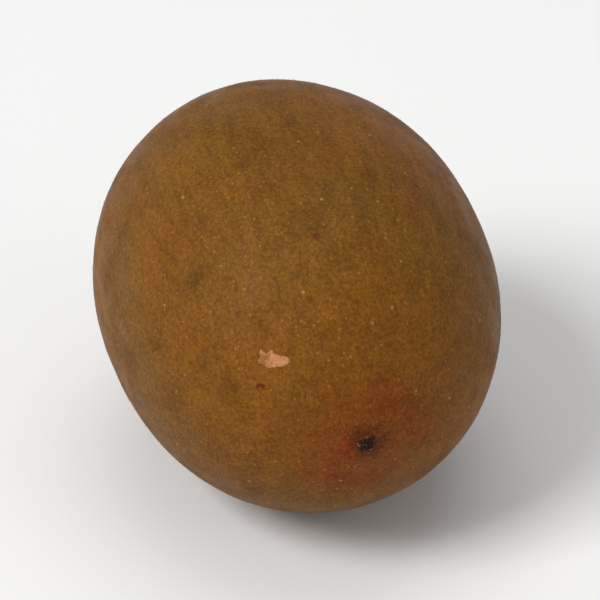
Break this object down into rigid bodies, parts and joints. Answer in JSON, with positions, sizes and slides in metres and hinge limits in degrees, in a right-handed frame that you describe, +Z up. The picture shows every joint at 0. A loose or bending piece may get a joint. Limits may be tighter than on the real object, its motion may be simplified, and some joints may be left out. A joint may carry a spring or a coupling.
{
  "type": "golden kiwi fruit",
  "caption": "Whole golden kiwi fruit lying on its side: blunt egg-shaped body, rimmed stalk pit in a corky ring at one end, small tuft of dried styles at the other.",
  "frame": {"origin": "centre of the bounding box's bottom face, on the surface the fruit rests on", "axes": "+X along the long axis, from the stalk end to the blossom end; +Y to the side; +Z up"},
  "size_m": [0.0692, 0.0544, 0.053],
  "materials": {
    "skin": "satin",
    "corky_scar": "matte",
    "dried_styles": "matte",
    "fuzz": "matte"
  },
  "bodies": {
    "root": {"kiwifruit": "skin"}
  },
  "joints": []
}
